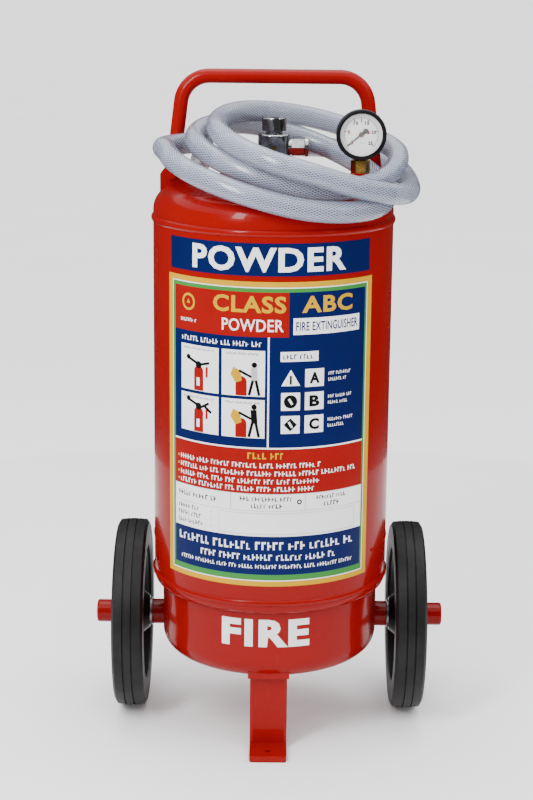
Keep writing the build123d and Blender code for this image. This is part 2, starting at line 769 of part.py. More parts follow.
# --- handle: bent tube bolted between two pairs of welded lugs ---
with BuildPart() as handle_tube:
    with BuildLine() as handle_line:
        FilletPolyline(
            (-foot_half, handle_y, foot_z),
            (-bar_half, handle_y, bar_z),
            (bar_half, handle_y, bar_z),
            (foot_half, handle_y, foot_z),
            radius=handle_bend_r,
        )
    with BuildSketch(Plane(origin=handle_line.line @ 0, z_dir=handle_line.line % 0)):
        Circle(tube_r)
    sweep()
    for side in (-1, 1):
        bolt_x = side * (foot_half - (bolt_z - foot_z) * (foot_half - bar_half) / (bar_z - foot_z))
        rod((bolt_x, 0, bolt_z), Y_WAY, 4, 60, mode=Mode.SUBTRACT)
    add(vessel_form.part, mode=Mode.SUBTRACT)
save(handle_tube, "handle_tube")

bolt_at = foot_half - (bolt_z - foot_z) * (foot_half - bar_half) / (bar_z - foot_z)
with BuildPart() as handle_lugs:
    for side in (-1, 1):
        for near in (handle_y - tube_r - lug_thick, handle_y + tube_r):
            with BuildSketch(Plane.XZ.offset(-(near + lug_thick))):
                with BuildLine():
                    Polyline(
                        (side * (bolt_at - 22), 690),
                        (side * (bolt_at - 20), 706),
                        (side * (bolt_at - 9), 722),
                        (side * (bolt_at + 6), 722),
                        (side * (bolt_at + 15), 712),
                        (side * (bolt_at + 15), 668),
                        close=True,
                    )
                make_face()
                with Locations((side * bolt_at, bolt_z)):
                    Circle(4, mode=Mode.SUBTRACT)
            extrude(amount=lug_thick)
    add(vessel_form.part, mode=Mode.SUBTRACT)
save(handle_lugs, "handle_lugs")

bolt_front_y = handle_y - tube_r - lug_thick
bolt_back_y = handle_y + tube_r + lug_thick
with BuildPart() as handle_bolts:
    for side in (-1, 1):
        rod((side * bolt_at, bolt_front_y, bolt_z), Y_WAY, 4, bolt_back_y - bolt_front_y + 9)
        with BuildSketch(Plane.XZ.offset(-bolt_front_y)):
            with Locations((side * bolt_at, bolt_z)):
                RegularPolygon(7, 6)
        extrude(amount=5.3)
save(handle_bolts, "handle_bolts")

with BuildPart() as handle_nuts:
    for side in (-1, 1):
        with BuildSketch(Plane.XZ.offset(-(bolt_back_y + 6.5))):
            with Locations((side * bolt_at, bolt_z)):
                RegularPolygon(7, 6)
                Circle(4, mode=Mode.SUBTRACT)
        extrude(amount=6.5)
save(handle_nuts, "handle_nuts")


# --- labels: thin sheets bent round the shell ---
def curved_label(low_z, high_z, from_deg, to_deg, name):
    """Angles are measured from the front, -Y, and grow towards +X."""
    start = from_deg - 90
    with BuildPart() as sheet:
        with BuildSketch(Plane.XZ.rotated((0, 0, start))):
            with Locations((label_r + label_thick / 2, (low_z + high_z) / 2)):
                Rectangle(label_thick, high_z - low_z)
        revolve(axis=Axis.Z, revolution_arc=to_deg - from_deg)
    save(sheet, name)


curved_label(611.7, 650.7, -55, 51, "name_band")
curved_label(227, 605, -56.7, 53, "main_label")
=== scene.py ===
import math
import random
import bpy
import bmesh
from mathutils import Matrix, Vector


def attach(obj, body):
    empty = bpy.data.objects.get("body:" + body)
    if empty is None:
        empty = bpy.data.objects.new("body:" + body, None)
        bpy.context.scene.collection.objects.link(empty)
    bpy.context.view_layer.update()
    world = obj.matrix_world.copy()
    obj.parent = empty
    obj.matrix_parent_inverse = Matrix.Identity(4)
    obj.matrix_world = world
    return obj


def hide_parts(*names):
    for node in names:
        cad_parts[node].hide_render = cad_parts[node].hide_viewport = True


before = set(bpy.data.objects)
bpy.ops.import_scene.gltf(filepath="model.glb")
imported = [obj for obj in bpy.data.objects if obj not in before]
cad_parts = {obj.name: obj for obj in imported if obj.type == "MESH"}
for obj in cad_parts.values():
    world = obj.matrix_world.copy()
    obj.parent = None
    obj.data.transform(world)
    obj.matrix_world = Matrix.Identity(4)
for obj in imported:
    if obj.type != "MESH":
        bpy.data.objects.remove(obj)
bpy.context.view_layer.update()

mm = 0.001
mainBody = "frame"
fullTurn = 2 * math.pi
vesselR = 0.150


def deg(angle):
    return math.radians(angle)


def addObject(name, data):
    piece = bpy.data.objects.new(name, data)
    bpy.context.collection.objects.link(piece)
    return piece


def toObject(name, bm, materials):
    mesh = bpy.data.meshes.new(name)
    bm.to_mesh(mesh)
    bm.free()
    for material in materials:
        mesh.materials.append(material)
    return addObject(name, mesh)


# camera: straight in front, above the whole object and looking down; metres, degrees and a lens in mm
view = {"distance": 2.265, "height": 0.974, "pitch": 13.6, "roll": 0.6, "lens": 81.9, "shiftX": -0.00625}


def makeCamera():
    lens = bpy.data.cameras.new("camera")
    lens.lens = view["lens"]
    lens.shift_x = view["shiftX"]
    lens.clip_start = 0.05
    eye = addObject("camera", lens)
    turn = Matrix.Rotation(deg(90 - view["pitch"]), 4, "X") @ Matrix.Rotation(deg(view["roll"]), 4, "Z")
    eye.matrix_world = Matrix.Translation((0, -view["distance"], view["height"])) @ turn
    bpy.context.scene.camera = eye


makeCamera()
print("camera set")


# shader maths: a wire holds a socket, and an expression on wires adds its nodes
class Wire:
    def __init__(self, graph, socket):
        self.graph = graph
        self.socket = socket

    def maths(self, kind, *values):
        return self.graph.node("ShaderNodeMath", {"operation": kind}, dict(enumerate(values)))

    def __add__(self, other):
        return self.maths("ADD", self, other)

    def __radd__(self, other):
        return self.maths("ADD", other, self)

    def __sub__(self, other):
        return self.maths("SUBTRACT", self, other)

    def __mul__(self, other):
        return self.maths("MULTIPLY", self, other)

    def sine(self):
        return self.maths("SINE", self)

    def largest(self, other):
        return self.maths("MAXIMUM", self, other)

    def clip(self):
        return self.graph.node("ShaderNodeClamp", None, {0: self})


class Graph:
    def __init__(self, tree):
        self.tree = tree

    def node(self, kind, settings=None, inputs=None, out=0):
        made = self.tree.nodes.new(kind)
        for key, value in (settings or {}).items():
            if key == "stops":
                stops = made.color_ramp.elements
                for stop, (place, colour) in zip(stops, value):
                    stop.position = place
                    stop.color = (*colour, 1)
            else:
                setattr(made, key, value)
        for key, value in (inputs or {}).items():
            self.join(made.inputs[key], value)
        return Wire(self, made.outputs[out])

    # a wire is linked, and a number, vector or colour is set on the socket
    def join(self, socket, value):
        if isinstance(value, Wire):
            self.tree.links.new(value.socket, socket)
        elif socket.type == "RGBA":
            socket.default_value = (*value, 1)
        else:
            socket.default_value = value


class Finish(Graph):
    def __init__(self, name, **fixed):
        self.material = bpy.data.materials.new(name)
        self.material.use_nodes = True
        super().__init__(self.material.node_tree)
        for key, value in fixed.items():
            self.put(key.replace("_", " "), value)

    def put(self, key, value):
        self.join(self.tree.nodes["Principled BSDF"].inputs[key], value)

    def place(self, kind="Object"):
        return self.node("ShaderNodeTexCoord", out=kind)

    def noise(self, scale, detail=3.0, rough=0.5, stretch=None):
        where = self.place()
        if stretch:
            where = self.node("ShaderNodeMapping", None, {"Vector": where, "Scale": stretch})
        values = {"Vector": where, "Scale": scale, "Detail": detail, "Roughness": rough}
        return self.node("ShaderNodeTexNoise", None, values)

    # two colours, with where along the value each one stands
    def ramp(self, value, low, high):
        return self.node("ShaderNodeValToRGB", {"stops": (low, high)}, {0: value})

    def blend(self, factor, low, high):
        return self.node("ShaderNodeMix", {"data_type": "RGBA"}, {0: factor, 6: low, 7: high}, 2)

    def bump(self, height, depth, strength=1.0):
        values = {"Height": height, "Distance": depth, "Strength": strength}
        self.put("Normal", self.node("ShaderNodeBump", None, values))


redPaint = {"deep": (0.185, 0.0012, 0.0009), "bright": (0.225, 0.0018, 0.0013), "rough": 0.22}


# glossy enamel with slow cloudiness and a faint orange peel, which is coarser over a weld
def redCoat(name, peelDepth, peelScale):
    coat = Finish(name, Specular_IOR_Level=0.05, Coat_Weight=0.26, Coat_Roughness=0.06, Coat_IOR=1.4)
    cloud = coat.noise(3.0, 4)
    coat.put("Base Color", coat.ramp(cloud, (0.3, redPaint["deep"]), (0.7, redPaint["bright"])))
    coat.put("Roughness", redPaint["rough"] + coat.noise(9.0, 5) * 0.10)
    coat.bump(coat.noise(peelScale, 2) * 0.3 + coat.noise(14.0, 2) * 0.5, peelDepth)
    return coat.material


# bare or plated metal, dull in patches, with fine marks that lie level
def metalFinish(name, colour, rough, spread):
    metal = Finish(name, Metallic=1.0)
    dull = tuple(0.30 * part for part in colour)
    metal.put("Base Color", metal.ramp(metal.noise(60.0, 4), (0.25, dull), (0.6, colour)))
    marks = metal.noise(40.0, 6, 0.7, stretch=(1, 1, 9))
    metal.put("Roughness", rough + marks * spread)
    metal.bump(marks * 0.6 + metal.noise(900.0, 2) * 0.4, 0.06 * mm)
    return metal.material


tyreRubber = {"black": (0.0028, 0.0028, 0.003), "dusty": (0.0085, 0.0087, 0.0095), "rough": 0.42}


def rubberFinish():
    rubber = Finish("tyreRubber", Specular_IOR_Level=0.22)
    dust = rubber.noise(38.0, 6, 0.65)
    rubber.put("Base Color", rubber.ramp(dust, (0.35, tyreRubber["black"]), (0.75, tyreRubber["dusty"])))
    rubber.put("Roughness", tyreRubber["rough"] + rubber.noise(90.0, 4) * 0.22)
    rubber.bump(rubber.noise(70.0, 5, 0.6) * 0.7 + rubber.noise(700.0, 2) * 0.3, 0.4 * mm)
    return rubber.material


def plasticFinish(name, low, high, rough):
    plastic = Finish(name, Specular_IOR_Level=0.22)
    plastic.put("Base Color", plastic.ramp(plastic.noise(45.0, 5), (0.3, low), (0.7, high)))
    plastic.put("Roughness", rough + plastic.noise(120.0, 4) * 0.16)
    plastic.bump(plastic.noise(800.0, 3), 0.12 * mm)
    return plastic.material


# ink or white card under a thin clear film, faded in patches
def printFinish(name, colour, rough=0.30):
    ink = Finish(name, Specular_IOR_Level=0.07, Coat_Weight=0.05, Coat_Roughness=0.10)
    faded = tuple(0.88 * part for part in colour)
    ink.put("Base Color", ink.ramp(ink.noise(16.0, 5), (0.3, faded), (0.65, colour)))
    ink.put("Roughness", rough + ink.noise(60.0, 4) * 0.10)
    ink.bump(ink.noise(55.0, 3), 0.12 * mm)
    return ink.material


# yarns are counted along a metre of hose and round its girth
braid = {
    "along": 160, "around": 26,
    "wall": ((0.070, 0.085, 0.145), (0.125, 0.145, 0.215)),
    "yarn": ((0.23, 0.26, 0.35), (0.36, 0.39, 0.48)),
}


# a clear wall with two sets of yarns that cross, each at about 27 degrees to the hose's axis
def hoseFinish():
    hose = Finish("braidedHose", Coat_Weight=0.8, Coat_Roughness=0.14)
    where = hose.place("UV")
    along = hose.node("ShaderNodeSeparateXYZ", None, {0: where}, 0) * (fullTurn * braid["along"])
    around = hose.node("ShaderNodeSeparateXYZ", None, {0: where}, 1) * (fullTurn * braid["around"])
    leftYarn = ((along + around).sine() * 2.0 - 0.8).clip()
    rightYarn = ((along - around).sine() * 2.0 - 0.8).clip()
    yarn = leftYarn.largest(rightYarn)
    milk = hose.noise(24.0, 4)
    wall = hose.blend(milk, *braid["wall"])
    hose.put("Base Color", hose.blend(yarn, wall, hose.blend(milk, *braid["yarn"])))
    hose.put("Alpha", 0.62 + yarn * 0.34)
    hose.put("Roughness", 0.22 + milk * 0.14)
    hose.bump(yarn, 0.25 * mm, 0.6)
    return hose.material


def glassFinish():
    glass = Finish("gaugeGlass", Specular_IOR_Level=0.6)
    smear = glass.noise(40.0, 5)
    glass.put("Base Color", glass.ramp(smear, (0.3, (0.92, 0.95, 0.96)), (0.7, (1.0, 1.0, 1.0))))
    glass.put("Roughness", 0.04 + smear * 0.06)
    glass.put("Alpha", 0.03 + smear * 0.03)
    return glass.material


inks = {
    "blue": (0.0010, 0.0058, 0.062),
    "red": (0.24, 0.0028, 0.0020),
    "yellow": (0.50, 0.275, 0.001),
    "green": (0.035, 0.19, 0.035),
    "white": (0.80, 0.80, 0.81),
    "black": (0.004, 0.004, 0.005),
    "grey": (0.42, 0.42, 0.44),
}
inkNames = list(inks)
inkFinishes = [printFinish("ink" + name.capitalize(), colour) for name, colour in inks.items()]
brassFinish = metalFinish("turnedBrass", (0.50, 0.29, 0.065), 0.16, 0.16)
print("inks and brass made")

# the frame's own pieces, by finish
pieceFinishes = [
    (redCoat("redEnamel", 0.18 * mm, 420.0),
     "body_shell top_head bottom_head base_drum neck_ring gauge_boss front_leg foot_plate axle_sleeve "
     "axle_caps handle_tube handle_lugs handle_bolts handle_nuts nozzle_clip"),
    (redCoat("redEnamelOnWeld", 0.4 * mm, 170.0), "upper_weld_bead lower_weld_bead lower_seam_bead leg_cap"),
    (metalFinish("polishedChrome", (0.46, 0.46, 0.47), 0.10, 0.12),
     "valve_body valve_knob valve_gland valve_plate charging_nut charging_cap hose_nut gun_nut"),
    (metalFinish("zincSteel", (0.34, 0.34, 0.33), 0.28, 0.2),
     "axle axle_washers dip_tube valve_spindle hose_ferrule gun_ferrule gun_pin"),
    (brassFinish, "relief_plug gauge_stem gauge_pivot gun_body"),
    (rubberFinish(), "left_tyre right_tyre"),
    (plasticFinish("blackMoulding", (0.003, 0.003, 0.0033), (0.008, 0.008, 0.009), 0.26),
     "left_wheel right_wheel left_bush right_bush gauge_case gauge_bezel gun_lever gun_nozzle gauge_needle"),
    (plasticFinish("sealRubber", (0.008, 0.008, 0.008), (0.02, 0.02, 0.02), 0.5), "neck_seal"),
    (printFinish("dialWhite", (0.86, 0.86, 0.85), 0.4), "gauge_dial"),
    (glassFinish(), "gauge_lens"),
]
for finish, names in pieceFinishes:
    for name in names.split():
        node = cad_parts[name]
        if not node.material_slots:
            node.data.materials.append(finish)
        node.material_slots[0].material = finish
print("frame pieces finished")

# hose, in millimetres: out of the valve's rear port, round in turns, and down the back to the gun
hoseSizes = {
    "radius": 13.0,
    "sides": 32,
    "slopeX": -0.24,
    "slopeY": 0.20,
    "pointsPerQuarter": 4,
    "lead": [
        (0, 62, 737), (0, 86, 737), (9, 109, 737), (25, 128, 737), (49, 139, 736), (79, 140, 734),
        (109, 129, 731), (135, 108, 727), (153, 78, 720), (164, 43, 713), (168, -4, 706),
    ],
    # where each turn is furthest right, front, left and back, in the order that the hose passes
    "quarters": [
        (166, -55, 703), (45, -154, 733), (-72, -45, 779), (50, 76, 779), (156, 0, 740), (30, -132, 712),
        (-98, -45, 763), (0, 68, 766), (138, -70, 700), (25, -160, 693), (-131, -48, 748),
    ],
    "tail": [
        (-138, -28, 750), (-121, -4, 751), (-99, 18, 751), (-89, 47, 747), (-90, 78, 737),
        (-96, 106, 719), (-102, 128, 693), (-105, 138, 659), (-103, 134, 623), (-103, 134, 590),
    ],
}


# each quarter of a turn is a quarter of an ellipse on the coil's slope, and climbs evenly
def quarterTurn(here, there, startsSideways):
    slopeX, slopeY = hoseSizes["slopeX"], hoseSizes["slopeY"]
    gap = [b - a for a, b in zip(here, there)]
    climb = gap[2] - slopeX * gap[0] - slopeY * gap[1]
    points = []
    for step in range(hoseSizes["pointsPerQuarter"]):
        share = step / hoseSizes["pointsPerQuarter"]
        rise = math.sin(share * math.pi / 2)
        bow = 1 - math.cos(share * math.pi / 2)
        partX, partY = (rise, bow) if startsSideways else (bow, rise)
        goneX, goneY = gap[0] * partX, gap[1] * partY
        height = slopeX * goneX + slopeY * goneY + climb * share
        points.append((here[0] + goneX, here[1] + goneY, here[2] + height))
    return points


def hoseRoute():
    quarters = hoseSizes["quarters"]
    route = list(hoseSizes["lead"])
    for index, (here, there) in enumerate(zip(quarters, quarters[1:])):
        route += quarterTurn(here, there, index % 2 == 1)
    route += [quarters[-1]] + hoseSizes["tail"]
    return [Vector(point) * mm for point in route]


# the smooth line of an open NURBS spline that the route's points steer
def smoothLine(route):
    curve = bpy.data.curves.new("hoseGuide", "CURVE")
    curve.dimensions = "3D"
    curve.resolution_u = 8
    spline = curve.splines.new("NURBS")
    spline.points.add(len(route) - 1)
    for point, place in zip(spline.points, route):
        point.co = (*place, 1)
    spline.order_u = 3
    spline.use_endpoint_u = True
    guide = addObject("hoseGuide", curve)
    line = bpy.data.meshes.new_from_object(guide)
    points = [vert.co.copy() for vert in line.vertices]
    bpy.data.meshes.remove(line)
    bpy.data.objects.remove(guide)
    return points


# a flat grid, one row for each point of the line, is rolled up round the line
def rolledTube(path, lengths, sides, radius):
    spans = len(path) - 1
    up = Vector((0, 0, 1))
    rings = []
    for index, place in enumerate(path):
        ahead = (path[min(index + 1, spans)] - path[max(index - 1, 0)]).normalized()
        up = (up - ahead * up.dot(ahead)).normalized()
        rings.append((place, ahead.cross(up), up))
    bm = bmesh.new()
    bmesh.ops.create_grid(bm, x_segments=spans, y_segments=sides, size=0.5)
    uv = bm.loops.layers.uv.new("UVMap")
    for face in bm.faces:
        face.smooth = True
        for loop in face.loops:
            row = round((loop.vert.co.x + 0.5) * spans)
            loop[uv].uv = (lengths[row], loop.vert.co.y + 0.5)
    for vert in bm.verts:
        place, across, up = rings[round((vert.co.x + 0.5) * spans)]
        angle = (vert.co.y + 0.5) * fullTurn
        vert.co = place + (across * math.cos(angle) + up * math.sin(angle)) * radius
    bmesh.ops.remove_doubles(bm, verts=bm.verts, dist=1e-5)
    bmesh.ops.holes_fill(bm, edges=[edge for edge in bm.edges if edge.is_boundary], sides=0)
    bmesh.ops.recalc_face_normals(bm, faces=bm.faces)
    return bm


def makeHose():
    path = smoothLine(hoseRoute())
    lengths = [0.0]
    for here, there in zip(path, path[1:]):
        lengths.append(lengths[-1] + (there - here).length)
    print("hose length", round(lengths[-1], 3))
    radius = hoseSizes["radius"] * mm
    bm = rolledTube(path, lengths, hoseSizes["sides"], radius)
    hose = toObject("dischargeHose", bm, [hoseFinish()])
    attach(hose, mainBody)
    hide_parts("hose_lead", "hose_coil", "hose_tail")


makeHose()
print("hose laid")

# printed work: how far apart its layers lie, and the widest strip that is bent as one flat
printed = {"layer": 0.07 * mm, "strip": 5.0}


# flat artwork in millimetres, x from the left and y down from the top; layers stack outwards
class Print:
    def __init__(self, lift=0.0):
        self.bm = bmesh.new()
        self.lift = lift

    def at(self, x, y, layer, turn=0.0):
        return Matrix.Translation((x, -y, layer + self.lift)) @ Matrix.Rotation(deg(turn), 4, "Z")

    def grid(self, matrix, steps, ink):
        made = bmesh.ops.create_grid(self.bm, x_segments=steps, y_segments=1, size=0.5, matrix=matrix)
        self.colour(made, ink)

    def colour(self, made, ink):
        for face in {face for vert in made["verts"] for face in vert.link_faces}:
            face.material_index = inkNames.index(ink)

    def box(self, left, top, right, bottom, ink, layer=1):
        width = right - left
        size = Matrix.Diagonal((width, bottom - top, 1, 1))
        place = self.at((left + right) / 2, (top + bottom) / 2, layer)
        self.grid(place @ size, max(1, math.ceil(width / printed["strip"])), ink)

    def outline(self, left, top, right, bottom, thick, ink, layer=2):
        self.box(left, top, right, top + thick, ink, layer)
        self.box(left, bottom - thick, right, bottom, ink, layer)
        self.box(left, top + thick, left + thick, bottom - thick, ink, layer)
        self.box(right - thick, top + thick, right, bottom - thick, ink, layer)

    def disc(self, x, y, radius, ink, layer=2, sides=28, turn=0.0, stretch=1.0):
        matrix = self.at(x, y, layer, turn) @ Matrix.Diagonal((1, stretch, 1, 1))
        made = bmesh.ops.create_circle(self.bm, cap_ends=True, segments=sides, radius=radius, matrix=matrix)
        self.colour(made, ink)

    def bar(self, x, y, length, width, angle, ink, layer=3):
        self.grid(self.at(x, y, layer, angle) @ Matrix.Diagonal((length, width, 1, 1)), 2, ink)

    # a line of plain strokes that only suggests small print
    def strokes(self, left, top, right, height, ink, seed, layer=2):
        rng = random.Random(seed)
        x = left
        while x < right - height:
            for letter in range(rng.randint(3, 8)):
                wide = height * rng.uniform(0.42, 0.62)
                if x + wide > right:
                    return
                stem = x + wide * 0.42
                lift = height * rng.choice((0, 0, 0, 0.22))
                self.box(x, top + lift, stem, top + height, ink, layer)
                cut = rng.choice((0.0, 0.4, 0.75)) * height
                self.box(stem, top + lift * 0.5 + cut, x + wide, top + cut + height * 0.25, ink, layer)
                x += wide + height * 0.2
            x += height * 0.45

    # a word, fitted between its sides
    def text(self, words, left, top, right, bottom, ink, bold, layer=2):
        curve = bpy.data.curves.new("lettering", "FONT")
        curve.body = words
        curve.offset = bold
        curve.space_character = 1.0 + 3 * bold
        curve.resolution_u = 3
        holder = addObject("lettering", curve)
        bpy.context.view_layer.update()
        mesh = bpy.data.meshes.new_from_object(holder)
        bpy.data.objects.remove(holder)
        xs = [vert.co.x for vert in mesh.vertices]
        ys = [vert.co.y for vert in mesh.vertices]
        scaleX = (right - left) / (max(xs) - min(xs))
        scaleY = (bottom - top) / (max(ys) - min(ys))
        mesh.transform(Matrix.Translation((-min(xs), -min(ys), 0)))
        mesh.transform(self.at(left, bottom, layer) @ Matrix.Diagonal((scaleX, scaleY, 1, 1)))
        for face in mesh.polygons:
            face.material_index = inkNames.index(ink)
        self.bm.from_mesh(mesh)
        bpy.data.meshes.remove(mesh)

    # upright cuts through the artwork, so that it can bend
    def slice(self):
        step = printed["strip"]
        xs = [vert.co.x for vert in self.bm.verts]
        x = math.ceil(min(xs) / step) * step
        while x < max(xs):
            crossed = []
            for face in self.bm.faces:
                faceXs = [vert.co.x for vert in face.verts]
                if min(faceXs) < x - 0.01 and max(faceXs) > x + 0.01:
                    crossed.append(face)
            if crossed:
                edges = {edge for face in crossed for edge in face.edges}
                verts = {vert for face in crossed for vert in face.verts}
                bmesh.ops.bisect_plane(self.bm, geom=crossed + list(edges) + list(verts),
                                       plane_co=(x, 0, 0), plane_no=(1, 0, 0), dist=1e-5)
            x += step

    def faceTowards(self, outwards):
        for face in self.bm.faces:
            face.normal_update()
            if face.normal.dot(outwards(face.calc_center_median())) < 0:
                face.normal_flip()

    # bends the artwork round the vessel's axis, from an angle and a height at its top left
    def wrap(self, name, fromDeg, topZ, radius):
        self.slice()
        for vert in self.bm.verts:
            angle = deg(fromDeg) + vert.co.x * mm / radius
            out = radius + vert.co.z * printed["layer"]
            vert.co = (out * math.sin(angle), -out * math.cos(angle), topZ + vert.co.y * mm)
        for face in self.bm.faces:
            face.smooth = True
        self.faceTowards(lambda centre: Vector((centre.x, centre.y, 0)))
        piece = toObject(name, self.bm, inkFinishes)
        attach(piece, mainBody)
        return piece


labelR = vesselR + 0.0001
nameBand = {"width": 277.4, "height": 39, "word": (40, 4.6, 237, 34.4), "fromDeg": -55, "topZ": 0.6507}


def makeNameBand():
    art = Print()
    art.box(0, 0, nameBand["width"], nameBand["height"], "blue", 1)
    art.text("POWDER", *nameBand["word"], "white", 0.035)
    band = art.wrap("nameBand", nameBand["fromDeg"], nameBand["topZ"], labelR)
    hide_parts("name_band")


drumWord = {"width": 112, "height": 36, "fromDeg": -25, "topZ": 0.1795, "radius": 0.139 + 0.00005}


def makeDrumWord():
    art = Print()
    art.text("FIRE", 0, 0, drumWord["width"], drumWord["height"], "white", 0.045)
    word = art.wrap("drumWord", drumWord["fromDeg"], drumWord["topZ"], drumWord["radius"])


# main label, in millimetres: a box is left, top, right and bottom, and a line of strokes is left, top,
# right, height, ink and seed
mainLabel = {
    "width": 287.2, "height": 378.0, "fromDeg": -56.7, "topZ": 0.605,
    "left": 13.9, "right": 274.0, "top": 12.5, "bottom": 363.0,
    "borders": (("yellow", 0.0, 0.0, 1.0), ("white", 8.6, 6.6, 1.7), ("green", 9.8, 7.8, 2.4)),
    "groundLayer": 3.1, "lift": 4.0,
}
headingPanel = {
    "right": 168.7, "bottom": 66.4,
    "discs": ((10.5, "yellow", 40), (7.6, "red", 40), (3.4, "yellow", 3)), "centre": (38, 31),
    "strokes": (25, 51, 53, 4.2, "white", 5),
    "words": (
        ("CLASS", 75, 17.0, 165, 37.5, "yellow", 0.03),
        ("ABC", 184, 17.0, 252, 37.5, "yellow", 0.03),
        ("POWDER", 87, 45, 162, 60, "white", 0.012),
        ("FIRE EXTINGUISHER", 177, 48, 261, 59, "blue", 0.018),
    ),
    "wordBox": (173.7, 43.5, 264, 63.5),
}
middlePanel = {
    "strokes": (27, 72, 137, 6.2, "white", 11),
    "rows": ((83, 139), (143, 190.5)), "columns": ((25.9, 82.8), (87, 140.4)),
    "divider": (143.6, 66.4, 145.6, 203), "classBox": (158.8, 84, 205.4, 96),
    "classStrokes": (162, 87, 202, 6, "blue", 21),
    "classes": (("A", 105.5), ("B", 134.0), ("C", 162.5)), "signX": 171.4,
}
notesPanel = {
    "top": 202.0, "line": 2.0, "bottom": 260.0,
    "strokes": (120, 208.4, 166, 8.0, "yellow", 51),
    "rows": ((221.5, 214), (231.5, 262), (241.5, 216), (251.0, 206)),
}
dataPanel = {
    "bottom": 314.0, "columns": (13.9, 99, 191, 274.0), "rowBottom": 282, "line": 0.6,
    "cells": (
        (21, 268, 84, 6.2, "black", 71), (111, 264, 176, 5.4, "black", 72),
        (125, 272.5, 163, 5.8, "black", 73), (206, 264, 247, 5.0, "black", 74),
        (216, 272.5, 240, 5.8, "black", 75),
    ),
    "mark": (184, 270.5), "rows": (285, 294, 303), "box": (83.5, 284.5, 262, 311.5),
}
footerStrokes = (
    (22, 321, 262, 10.0, "white", 81), (58, 337, 236, 7.6, "white", 82), (26, 350, 262, 5.0, "white", 83),
)


# a white panel with strokes for its caption; its shapes stand on its base
def pictogram(art, left, top, right, bottom, kind):
    middle = (left + right) / 2
    base = bottom - 0.5
    art.box(left, top, right, bottom, "white", 1)
    art.strokes(left + 5, top + 3, right - 5, 2.6, "black", 40 + kind)
    if kind in (1, 3):
        drawCylinder(art, middle, base, squeezed=kind == 3)
    else:
        drawPerson(art, middle, base, "black" if kind == 4 else "grey")


# a plain cylinder with its valve and levers
def drawCylinder(art, middle, base, squeezed):
    art.box(middle - 7, base - 24, middle + 7, base, "red", 2)
    art.disc(middle, base - 24, 7, "red", 2.4)
    art.box(middle - 3, base - 16, middle + 1.5, base - 6, "white", 3)
    art.disc(middle, base - 32, 4.5, "black", 3)
    art.bar(middle - 8, base - 36, 17, 3.4, -22, "black", 3.4)
    art.bar(middle + 9, base - 34, 14, 3.0, 28 if squeezed else 14, "black", 3.4)
    art.bar(middle + 12, base - 24, 3.2, 13, 0, "red", 3.4)
    art.disc(middle - 16, base - 40, 3.2, "black", 3.8)
    if squeezed:
        art.bar(middle + 13, base - 30, 14, 3.4, -38, "black", 3.8)


# a person in plain bars, beside a cylinder and a flame
def drawPerson(art, middle, base, coat):
    art.box(middle - 9, base - 17, middle + 5, base, "red", 2)
    art.disc(middle - 2, base - 17, 7, "red", 2.4)
    art.disc(middle - 8, base - 25, 7, "yellow", 3, 5, 20, 1.5)
    art.disc(middle + 14, base - 38, 3.4, "black", 3)
    art.bar(middle + 14, base - 26, 7.5, 17, 4, coat, 3)
    art.bar(middle + 10, base - 10, 3.4, 19, -14, "black", 3.2)
    art.bar(middle + 18, base - 10, 3.4, 19, 12, "black", 3.2)
    art.bar(middle + 3, base - 27, 17, 3.0, -26, "black", 3.6)


# one row for a fire class: a sign, a letter in a white box and two lines of strokes
def classRow(art, letter, top, index):
    signX = middlePanel["signX"]
    if letter == "A":
        art.disc(signX, top + 13.5, 13.2, "white", 1, 3)
        art.bar(signX, top + 13, 2.6, 11, 0, "black", 2)
    else:
        art.box(160, top, 182.9, top + 22, "white", 1)
        art.disc(signX, top + 11, 8.2, "black", 2, 4 if letter == "C" else 24)
        art.bar(signX, top + 11, 2.6, 8, 30, "white", 3)
    art.box(188.9, top, 213, top + 22, "white", 1)
    art.text(letter, 194.5, top + 4, 207.5, top + 18, "black", 0.05)
    art.strokes(219, top + 5, 257, 4.0, "white", 31 + index)
    art.strokes(219, top + 12.5, 247, 4.0, "white", 35 + index)


def drawHeading(art):
    art.box(mainLabel["left"], mainLabel["top"], headingPanel["right"], headingPanel["bottom"], "red", 0)
    for layer, (radius, ink, sides) in enumerate(headingPanel["discs"], 1):
        art.disc(*headingPanel["centre"], radius, ink, layer, sides)
    art.strokes(*headingPanel["strokes"])
    art.box(*headingPanel["wordBox"], "white", 1)
    for word in headingPanel["words"]:
        art.text(*word)


def drawMiddle(art):
    art.strokes(*middlePanel["strokes"])
    kind = 1
    for top, bottom in middlePanel["rows"]:
        for left, right in middlePanel["columns"]:
            pictogram(art, left, top, right, bottom, kind)
            kind += 1
    art.box(*middlePanel["divider"], "white", 1)
    art.box(*middlePanel["classBox"], "white", 1)
    art.strokes(*middlePanel["classStrokes"])
    for index, (letter, top) in enumerate(middlePanel["classes"]):
        classRow(art, letter, top, index)


def drawNotes(art):
    left, right = mainLabel["left"], mainLabel["right"]
    lineBottom = notesPanel["top"] + notesPanel["line"]
    art.box(left, notesPanel["top"], right, lineBottom, "white", 1)
    art.box(left, lineBottom, right, notesPanel["bottom"], "red", 0.5)
    art.strokes(*notesPanel["strokes"])
    for index, (top, end) in enumerate(notesPanel["rows"]):
        art.disc(20.5, top + 3, 1.6, "yellow", 2, 12)
        art.strokes(24.5, top, end, 6.0, "white", 61 + index)


